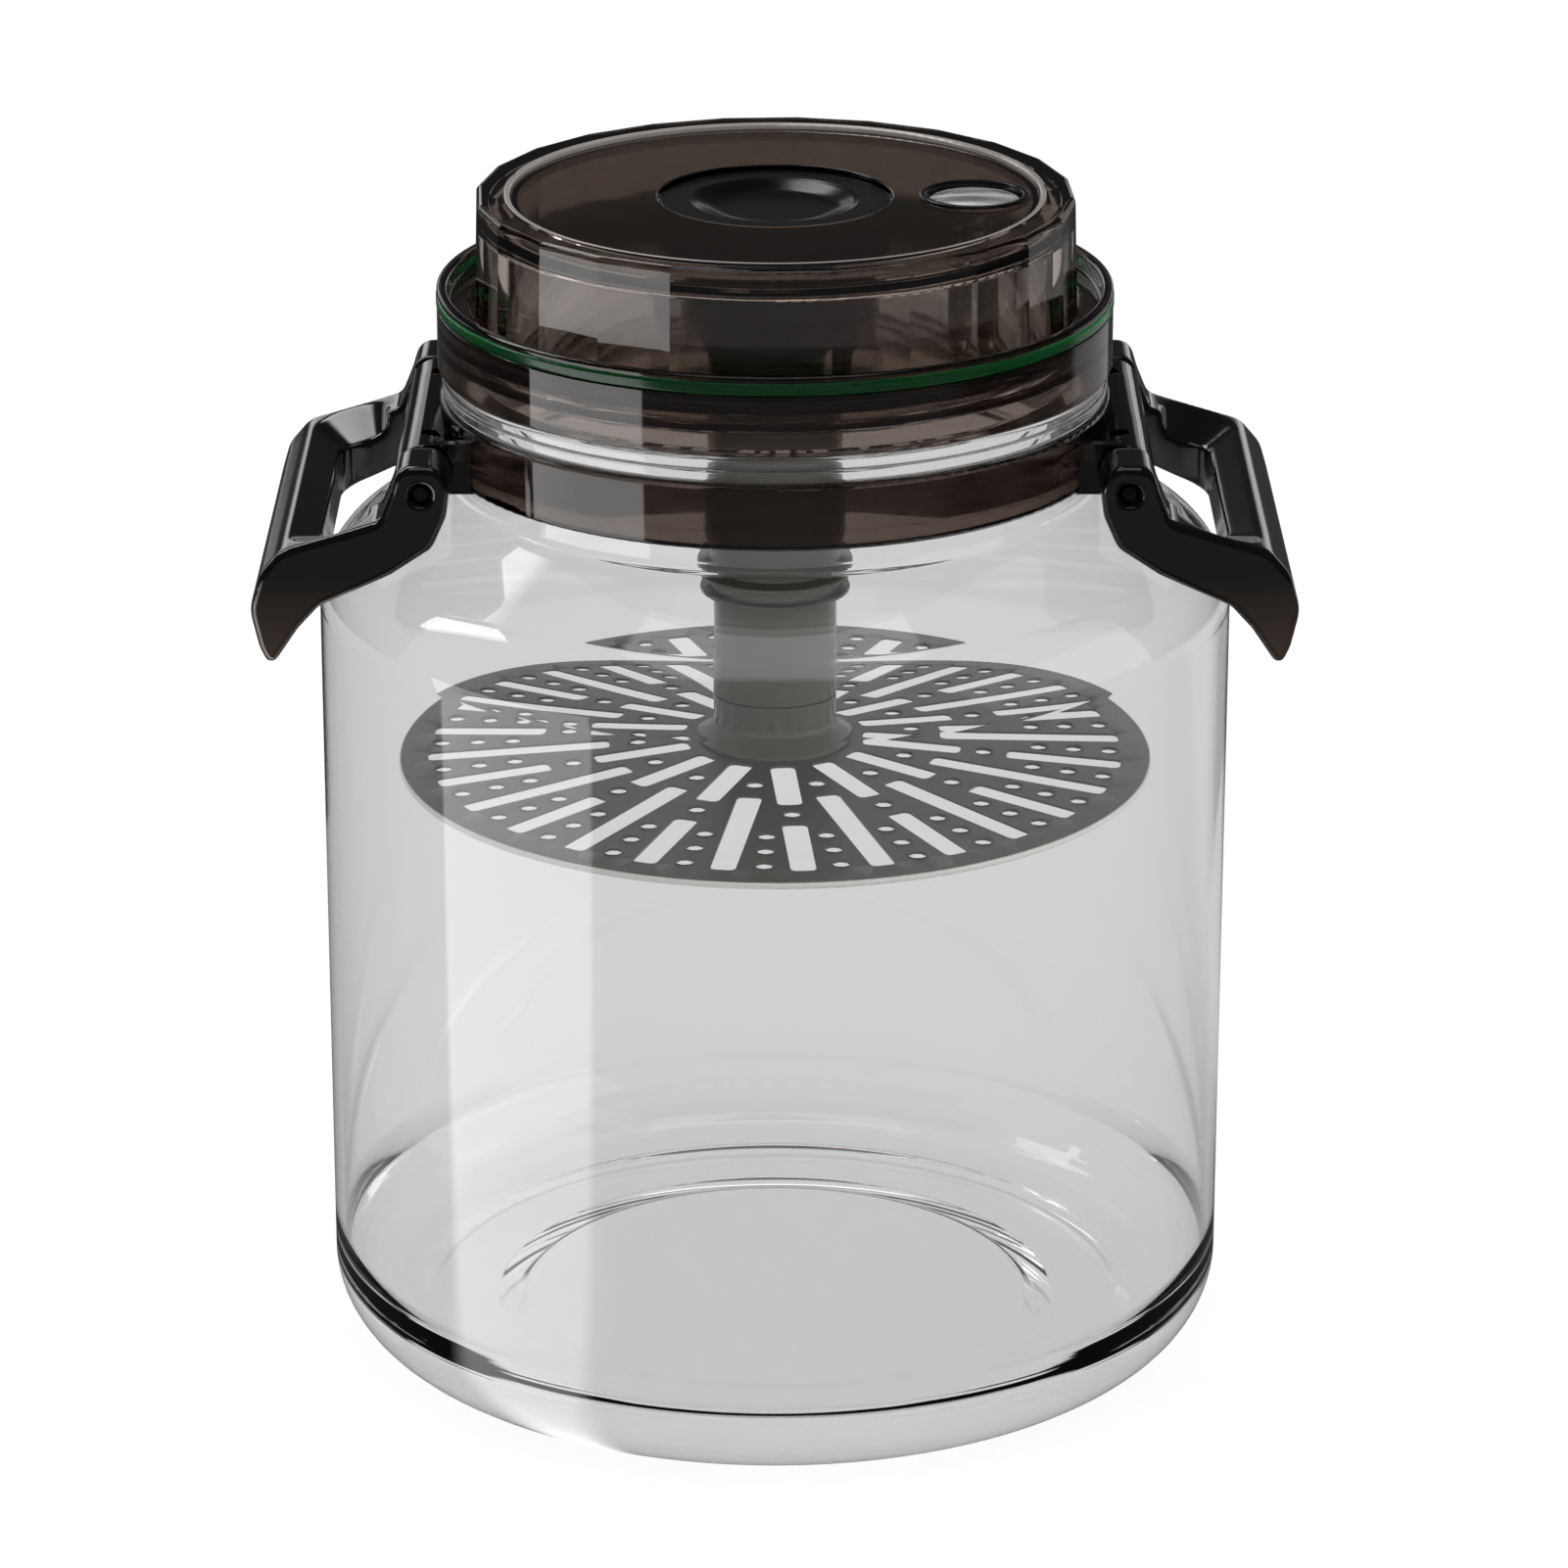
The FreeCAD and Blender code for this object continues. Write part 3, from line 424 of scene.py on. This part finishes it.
# ---------------------------------------------------------------- hinge rods and springs
# The two springs are wound of drawn stainless wire. They stand in the lid under their buttons, which
# shorten them in use; here they stay with the lid at one length. The hinge rods are the same steel,
# blackened.
def weld(data, then=None):
    """Joins the points of a mesh that lie in one place; then may work on the joined mesh."""
    mesh = bmesh.new()
    mesh.from_mesh(data)
    bmesh.ops.remove_doubles(mesh, verts=mesh.verts, dist=1e-7)
    if then:
        then(mesh)
    mesh.to_mesh(data)
    mesh.free()


drawn_steel = Finish("steel")
draw_lines = drawn_steel.noise(900.0, 3.0, stretch=(1, 0.02, 1))
drawn_steel.end(drawn_steel.node("BsdfPrincipled", {
    "Base Color": drawn_steel.blend(draw_lines, (0.48, 0.48, 0.49), (0.62, 0.62, 0.63)),
    "Metallic": 1.0, "Roughness": draw_lines * 0.2 + 0.18,
}))
button_springs = (("pump_spring", "pump_press", 0.007), ("release_spring", "release_press", 0.0025))
for name, joint, travel in button_springs:
    spring = put(name + "_wire", nodes[name].data.copy())
    weld(spring.data)
    dress(crisp(spring), drawn_steel)
    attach(spring, "lid")
    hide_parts(name)
    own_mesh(spring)
black_steel = Finish("black_steel")
oxide = black_steel.noise(300.0, 3.0, stretch=(1, 0.1, 1))
black_steel.end(black_steel.node("BsdfPrincipled", {
    "Base Color": black_steel.blend(oxide, (0.02, 0.02, 0.022), (0.035, 0.035, 0.036)),
    "Metallic": 1.0, "Roughness": oxide * 0.2 + 0.3,
}))
for name in ("left_hinge_pin", "right_hinge_pin"):
    dress(nodes[name], black_steel)


# ---------------------------------------------------------------- screw ring
# The smoked ring that screws the lid down: a skirt with an inner thread, a flange over the lid and a
# raised lip that leaves a gutter round the pump. An outer groove takes the green band.
ring_radius = 73.3
ring_bore = 71.3
skirt_bottom = 224.4
flange_bottom = 236.1
flange_top = 238.0
flange_bore = 66.3
groove_bottom = 237.8
groove_top = 240.4
groove_radius = 72.2
lip_top = 241.8
lip_bore = 70.8
thread_low = 224.6
thread_high = 235.9
thread_start = 226.2 + thread_pitch / 2


def ring_shape(radius, turn, z):
    """Raises the inner thread, which runs between the turns of the jar's."""
    if abs(radius - ring_bore) > on_wall or not thread_low < z < thread_high:
        return radius, z
    rise = thread(turn, z, start=thread_start, pitch=thread_pitch, turns=1.9, depth=2.3, half_width=0.9)
    return radius - rise, z


ring_line = [
    (ring_bore, skirt_bottom, 0.4), (ring_radius, skirt_bottom, 0.5), (ring_radius, groove_bottom, 0.3),
    (groove_radius, groove_bottom), (groove_radius, groove_top), (ring_radius, groove_top, 0.3),
    (ring_radius, lip_top, 0.9), (lip_bore, lip_top, 0.9), (lip_bore, flange_top, 0.8),
    (flange_bore, flange_top, 0.4), (flange_bore, flange_bottom), (ring_bore, flange_bottom),
]
ring_rows = [(ring_bore, 235.8 - 0.3 * k) for k in range(38)]
ring = lathe("screw_ring_smoked", ring_line + ring_rows, around=224, shape=ring_shape)
smoked_ring = smoked("smoked_ring", (0.69, 0.64, 0.60), density=1400.0)
dress(ring, smoked_ring)
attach(ring, "screw_ring")
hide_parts("screw_ring")


# ---------------------------------------------------------------- green seal ring
# A band of deep green silicone, stretched into the ring's outer groove. It stands a little proud with
# full round edges, and some light passes through it.
band_inside = 72.25
band_outside = 73.45
band_bottom = 237.85
band_top = 240.35
green_silicone = Finish("green_silicone")
green_mottle = green_silicone.noise(70.0, 3.0)
green_silicone.end(green_silicone.node("BsdfPrincipled", {
    "Base Color": green_silicone.blend(green_mottle, (0.01, 0.26, 0.06), (0.015, 0.32, 0.08)),
    "Roughness": green_mottle * 0.08 + 0.12, "Transmission Weight": 0.93, "IOR": 1.41,
}))
seal_band = lathe("green_seal_band", [
    (band_inside, band_bottom, 0.2), (band_outside, band_bottom, 0.9),
    (band_outside, band_top, 0.9), (band_inside, band_top, 0.2),
])
dress(seal_band, green_silicone)
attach(seal_band, "screw_ring")
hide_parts("green_seal_ring")


# ---------------------------------------------------------------- inner lid, housing and top
# The inner lid, the faceted pump housing and its top panel are clear smoked mouldings, welded together.
# A pale glossy bead trims the seam round the panel.
dress(nodes["lid_base"], smoked_ring)
dress(nodes["pump_housing"], smoked("smoked_housing", (0.88, 0.83, 0.79), density=250.0))
dress(nodes["top_panel"], smoked("smoked_panel", (0.58, 0.53, 0.49), density=1300.0))
pale_bead = Finish("panel_trim_plastic")
bead_noise = pale_bead.noise(90.0, 2.0)
pale_bead.end(pale_bead.node("BsdfPrincipled", {
    "Base Color": pale_bead.blend(bead_noise, (0.36, 0.33, 0.31), (0.46, 0.43, 0.41)),
    "Roughness": bead_noise * 0.1 + 0.12, "Coat Weight": 0.6, "Coat Roughness": 0.05,
}))
dress(nodes["panel_trim"], pale_bead)


# ---------------------------------------------------------------- pump and seals
# The push button, barrel and piston are black mouldings with a fine sheen, and so is the release
# button's bezel. The piston's seal is black rubber; gasket, check valve and release seal are milky
# silicone.
black_plastic = Finish("black_plastic")
black_grain = black_plastic.noise(650.0, 3.0)
black_plastic.end(black_plastic.node("BsdfPrincipled", {
    "Base Color": black_plastic.blend(black_grain, (0.0022, 0.0021, 0.0018), (0.0035, 0.0033, 0.003)),
    "Roughness": black_grain * 0.08 + 0.14, "Specular IOR Level": 0.25,
    "Normal": black_plastic.waver(black_grain, depth=0.00004, strength=0.3),
}))
for name in ("pump_button", "pump_cylinder", "pump_piston", "release_bezel"):
    dress(nodes[name], black_plastic)
black_rubber = Finish("black_rubber")
rubber_grain = black_rubber.noise(800.0, 3.0)
black_rubber.end(black_rubber.node("BsdfPrincipled", {
    "Base Color": black_rubber.blend(rubber_grain, (0.012, 0.012, 0.012), (0.02, 0.02, 0.02)),
    "Roughness": rubber_grain * 0.2 + 0.5,
}))
dress(nodes["piston_seal"], black_rubber)
milky_silicone = Finish("clear_silicone")
milk = milky_silicone.noise(120.0, 3.0)
milky_silicone.end(milky_silicone.node("BsdfPrincipled", {
    "Base Color": milky_silicone.blend(milk, (0.62, 0.62, 0.59), (0.72, 0.72, 0.69)),
    "Roughness": milk * 0.1 + 0.35, "Subsurface Weight": 0.3, "Subsurface Scale": 0.002,
}))
for name in ("mouth_gasket", "check_valve", "release_seal"):
    dress(nodes[name], milky_silicone)


# ---------------------------------------------------------------- release button
# A silvered plastic cap, brushed across. It slides in its black bezel against a spring and lets air
# back into the jar.
silvered = Finish("silvered_plastic")
brush = silvered.noise(500.0, 4.0, stretch=(0.06, 1, 1))
brushed = silvered.node("ValToRGB", {"Fac": brush}, {"stops": [
    (0.36, (0.35, 0.35, 0.35)), (0.48, (0.75, 0.75, 0.75)), (0.60, (1.0, 1.0, 1.0))]})
silvered.end(silvered.node("BsdfPrincipled", {
    "Base Color": brushed, "Metallic": 0.55, "Roughness": brush * 0.25 + 0.15,
    "Normal": silvered.waver(brush, depth=0.00005, strength=0.4),
}))
dress(nodes["release_button"], silvered)


# ---------------------------------------------------------------- stem and strainer
# The telescope's tubes and hub are warm grey mouldings, satin from the tool, that slide in one another.
# The crowned plate on the hub is darker, with a painted highlight round its rim, and thin enough for light
# to pass its holes.
grey_plastic = Finish("grey_plastic")
grey_flow = grey_plastic.noise(25.0, 4.0)
grey_grain = grey_plastic.noise(900.0, 2.0)
grey_plastic.end(grey_plastic.node("BsdfPrincipled", {
    "Base Color": grey_plastic.blend(grey_flow, (0.145, 0.136, 0.122), (0.185, 0.174, 0.157)),
    "Roughness": grey_grain * 0.08 + 0.16,
    "Normal": grey_plastic.waver(grey_grain, depth=0.00005, strength=0.35),
}))
for name in ("stem_sleeve", "stem_tube", "strainer_hub"):
    dress(nodes[name], grey_plastic)

plate_radius = max(abs(v.co.x) for v in nodes["strainer_plate"].data.vertices)
plate_top = max(v.co.z for v in nodes["strainer_plate"].data.vertices)
plate_crown = 0.0031
plate_flat = 0.0184
plate_lip = 0.0012
plate_skin = 0.0006
plate_thinner = 0.0005
# The pale ring at the plate's rim is a painted highlight, standing in for the glint on its rounded edge.
rim_highlight_start = plate_radius - 0.0005
rim_highlight_end = plate_radius - 0.0002
dark_plate = Finish("plate_plastic")
plate_spot = dark_plate.node("TexCoord", output="Object")
plate_x = dark_plate.node("SeparateXYZ", {"Vector": plate_spot}, output="X")
plate_y = dark_plate.node("SeparateXYZ", {"Vector": plate_spot}, output="Y")
from_axis = (plate_x * plate_x + plate_y * plate_y).maths("SQRT")
painted_rim_highlight = dark_plate.node("MapRange", {
    "Value": from_axis, "From Min": rim_highlight_start, "From Max": rim_highlight_end})
plate_flow = dark_plate.noise(25.0, 4.0)
plate_grain = dark_plate.noise(900.0, 2.0)
plate_body = dark_plate.blend(plate_flow, (0.075, 0.070, 0.062), (0.100, 0.094, 0.085))
dark_plate.end(dark_plate.node("BsdfPrincipled", {
    # Painted highlight: the rim's last fraction of a millimetre turns near white.
    "Base Color": dark_plate.blend(painted_rim_highlight, plate_body, (0.95, 0.93, 0.90)),
    "Roughness": plate_grain * 0.1 + 0.32,
    "Normal": dark_plate.waver(plate_grain, depth=0.00005, strength=0.35),
}))


def plate_height(out):
    """The height of the plate's upper face at a distance from its axis."""
    return plate_top - plate_crown * max(0.0, out - plate_flat) / (plate_radius - plate_flat)


def raise_underside(mesh):
    """Makes the plate thinner from below, between the hub and the lip of its rim."""
    margin = 1e-5
    for corner in mesh.verts:
        out = math.hypot(corner.co.x, corner.co.y)
        if out < plate_radius - plate_lip - margin and corner.co.z < plate_height(out) - plate_skin:
            corner.co.z += plate_thinner


plate = put("strainer_plate_moulding", nodes["strainer_plate"].data.copy())
weld(plate.data, then=raise_underside)
dress(crisp(plate), dark_plate)
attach(plate, "strainer")
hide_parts("strainer_plate")


# ---------------------------------------------------------------- drain hole lips
# Each drain hole of the strainer has a low drawn lip, moulded with the plate. One lip is repeated over
# the holes of one sector, and that sector round the plate.
sectors = 14
sector_phase = -8.3
pair_angle = 6.3
hole_spots = [(0.557, 0.0), (0.365, 180.0 / sectors)]
hole_spots += [(share, angle) for share in (0.7, 0.794, 0.888) for angle in (-pair_angle, pair_angle)]


def step(tree, kind, values=None, output=0, **settings):
    """One node of a shape tree, and the output that is used."""
    made = tree.nodes.new(kind)
    for key, value in settings.items():
        setattr(made, key, value)
    for key, value in (values or {}).items():
        if isinstance(value, bpy.types.NodeSocket):
            tree.links.new(value, made.inputs[key])
        else:
            made.inputs[key].default_value = value
    return made.outputs[output]


lip_tree = bpy.data.node_groups.new("drain_hole_lips", "GeometryNodeTree")
lip_sizes = {}
for name, kind, value in (
    ("Hole Centres", "NodeSocketGeometry", None), ("Sectors", "NodeSocketInt", sectors),
    ("Lip Circle Radius", "NodeSocketFloat", 0.00225), ("Lip Thickness", "NodeSocketFloat", 0.00014),
    ("Plastic", "NodeSocketMaterial", dark_plate.block),
):
    socket = lip_tree.interface.new_socket(name, in_out="INPUT", socket_type=kind)
    if value is not None:
        lip_sizes[socket.identifier] = value
lip_tree.interface.new_socket("Lips", in_out="OUTPUT", socket_type="NodeSocketGeometry")
given = lip_tree.nodes.new("NodeGroupInput").outputs
circle = step(lip_tree, "GeometryNodeCurvePrimitiveCircle", {
    "Resolution": 8, "Radius": given["Lip Circle Radius"]})
bead = step(lip_tree, "GeometryNodeCurvePrimitiveCircle", {
    "Resolution": 6, "Radius": given["Lip Thickness"]})
lip = step(lip_tree, "GeometryNodeCurveToMesh", {"Curve": circle, "Profile Curve": bead})
centre = step(lip_tree, "GeometryNodeInputPosition")
centre_x = step(lip_tree, "ShaderNodeSeparateXYZ", {"Vector": centre}, output="X")
centre_y = step(lip_tree, "ShaderNodeSeparateXYZ", {"Vector": centre}, output="Y")
facing = step(lip_tree, "ShaderNodeMath", {0: centre_y, 1: centre_x}, operation="ARCTAN2")
turned = step(lip_tree, "ShaderNodeCombineXYZ", {"Z": facing})
sector = step(lip_tree, "GeometryNodeInstanceOnPoints", {
    "Points": given["Hole Centres"], "Instance": lip, "Rotation": turned})
axis = step(lip_tree, "GeometryNodePoints", {"Count": given["Sectors"]})
share_of_turn = step(lip_tree, "ShaderNodeMath", {0: 2 * math.pi, 1: given["Sectors"]}, operation="DIVIDE")
count = step(lip_tree, "GeometryNodeInputIndex")
sector_turn = step(lip_tree, "ShaderNodeMath", {0: count, 1: share_of_turn}, operation="MULTIPLY")
swing = step(lip_tree, "ShaderNodeCombineXYZ", {"Z": sector_turn})
round_plate = step(lip_tree, "GeometryNodeInstanceOnPoints", {
    "Points": axis, "Instance": sector, "Rotation": swing})
real = step(lip_tree, "GeometryNodeRealizeInstances", {"Geometry": round_plate})
plastic = step(lip_tree, "GeometryNodeSetMaterial", {"Geometry": real, "Material": given["Plastic"]})
lip_tree.links.new(plastic, lip_tree.nodes.new("NodeGroupOutput").inputs[0])

centres = []
for share, angle in hole_spots:
    out = share * plate_radius
    turn = math.radians(sector_phase + angle)
    centres.append((out * math.cos(turn), out * math.sin(turn), plate_height(out)))
centre_points = bpy.data.meshes.new("drain_hole_lips")
centre_points.from_pydata(centres, [], [])
lips = put("drain_hole_lips", centre_points)
repeat = lips.modifiers.new("repeat", "NODES")
repeat.node_group = lip_tree
for place, value in lip_sizes.items():
    repeat[place] = value
settle(lips)
weld(lips.data, then=lambda mesh: bmesh.ops.recalc_face_normals(mesh, faces=mesh.faces))
crisp(lips)
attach(lips, "strainer")


# ---------------------------------------------------------------- floor
# A seamless pale sweep that keeps the jar's shadow. To the eye it is white and through glass it is pale.
# Mirrors see dark paper with a lit card on it and a lighter far side, which draw the edges of the glass.
floor_half = 3.0
floor_gap = 0.0002
floor_data = bpy.data.meshes.new("floor")
floor_corners = [(x * floor_half, y * floor_half, 0) for x, y in ((-1, -1), (1, -1), (1, 1), (-1, 1))]
floor_data.from_pydata(floor_corners, [], [(0, 1, 2, 3)])
floor = put("floor", floor_data)
floor.location.z = -floor_gap
sweep = Finish("floor_sweep")
paper = sweep.noise(30.0, 2.0)
lit = sweep.node("BsdfDiffuse", {"Color": sweep.blend(paper, (0.80, 0.80, 0.80), (0.83, 0.83, 0.83))})


def fades(finish, value, dark, bright):
    """A smooth step from 0 to 1 while the value goes from dark to bright."""
    return finish.node("MapRange", {
        "Value": value, "From Min": dark, "From Max": bright}, {"interpolation_type": "SMOOTHSTEP"})


def white(finish, kind, strength):
    """Plain white light of a strength: an Emission for a surface, a Background for the world."""
    return finish.node(kind, {"Color": (1, 1, 1), "Strength": strength})


spot = sweep.place()
across = sweep.node("SeparateXYZ", {"Vector": spot}, output="X")
along = sweep.node("SeparateXYZ", {"Vector": spot}, output="Y")
card_right = across * -0.702 + along * 0.712 + 0.0386
card_left = across * -0.049 + along * -0.999 - 0.0725
card_fade = 0.012
left_card = fades(sweep, card_right, 0.0, card_fade) * fades(sweep, card_left, 0.0, card_fade)
far_low = fades(sweep, along - across * 0.45, 0.0, 0.10)
far_high = fades(sweep, across * 2.1 - along, 0.0, 0.15)
far_left = (
    fades(sweep, along, 1.62, 1.42) * fades(sweep, along, 0.9, 1.1) * fades(sweep, across, -0.35, -0.45)
)
near_side = fades(sweep, along, -0.3, -0.5)
far_side = far_low * far_high * 0.4 + far_left * 0.3 + near_side * 0.12 + 0.05
in_mirrors = white(sweep, "Emission", far_side + left_card * 3.0)
through_glass = sweep.choose(0.62, lit, white(sweep, "Emission", 0.74))
to_eye = sweep.choose(0.7, lit, white(sweep, "Emission", 1.2))
bounced = sweep.choose(sweep.seen_by("Glossy"), lit, in_mirrors)
bounced = sweep.choose(sweep.seen_by("Transmission"), bounced, through_glass)
sweep.end(sweep.choose(sweep.seen_by("Camera"), bounced, to_eye))
dress(floor, sweep)


# ---------------------------------------------------------------- studio
# A white room to the eye and a soft grey one for the light. Mirrors see it dark, with a rear wall and
# three lit cards, each bounded by the directions in which it is seen.
studio = Finish("studio", world=True)
bpy.context.scene.world = studio.block
way = studio.node("TexCoord", output="Generated")
leftwards = studio.node("SeparateXYZ", {"Vector": way}, output="X") * -1.0
backwards = studio.node("SeparateXYZ", {"Vector": way}, output="Y")
upwards = studio.node("SeparateXYZ", {"Vector": way}, output="Z")
rear_wall = (
    fades(studio, backwards, 0.3, 0.6)
    * fades(studio, upwards, 0.20, 0.14) * fades(studio, upwards, 0.03, 0.08)
)
rear_card = (
    fades(studio, backwards, 0.5, 0.6) * fades(studio, leftwards, 0.14, 0.20)
    * fades(studio, upwards, 0.36, 0.30) * fades(studio, upwards, 0.06, 0.12)
)
right_card = (
    fades(studio, backwards, 0.85, 0.90) * fades(studio, leftwards, -0.20, -0.25)
    * fades(studio, upwards, 0.10, 0.06) * fades(studio, upwards, -0.06, -0.02)
)
high_card = (
    fades(studio, backwards, 0.46, 0.52)
    * fades(studio, leftwards, 0.04, 0.12) * fades(studio, leftwards, 0.62, 0.54)
    * fades(studio, upwards, 0.56, 0.64) * fades(studio, upwards, 0.88, 0.82)
)
cards = rear_wall * 0.5 + rear_card * 0.8 + right_card * 0.9 + high_card * 4.0
room_light = white(studio, "Background", 0.55)
seen = white(studio, "Background", 1.0)
passed = white(studio, "Background", 0.66)
mirrored = white(studio, "Background", cards + 0.035)
lighting = studio.choose(studio.seen_by("Glossy"), room_light, mirrored)
lighting = studio.choose(studio.seen_by("Transmission"), lighting, passed)
studio.end(studio.choose(studio.seen_by("Camera"), lighting, seen))


# ---------------------------------------------------------------- lamps
# A narrow upright softbox behind the left shoulder, a wide weak panel at the right that no mirror shows,
# and a soft one overhead. All face the middle of the jar.
def softbox(name, azimuth, elevation, distance, width, height, strength, roll=0):
    """A rectangular lamp. Azimuth is in degrees to the right of the camera's side."""
    data = bpy.data.lights.new(name, "AREA")
    data.shape = "RECTANGLE"
    data.size = width
    data.size_y = height
    data.energy = strength * width * height * math.pi
    lamp = put(name, data)
    turn = math.radians(azimuth)
    lift = math.radians(elevation)
    away = Vector((math.sin(turn) * math.cos(lift), -math.cos(turn) * math.cos(lift), math.sin(lift)))
    jar_middle = Vector((0, 0, 0.15))
    lamp.location = jar_middle + away * distance
    facing = away.to_track_quat("Z", "Y") @ Quaternion((0, 0, 1), math.radians(roll))
    lamp.rotation_euler = facing.to_euler()
    return lamp


softbox(
    "left_softbox", azimuth=-115, elevation=41, distance=1.4,
    width=0.54, height=0.25, strength=6.5, roll=90,
)
side_panel = softbox(
    "right_panel", azimuth=82, elevation=18, distance=1.6, width=1.9, height=1.2, strength=0.9)
side_panel.visible_glossy = False
softbox("top_softbox", azimuth=0, elevation=84, distance=1.3, width=0.9, height=0.9, strength=1.0)
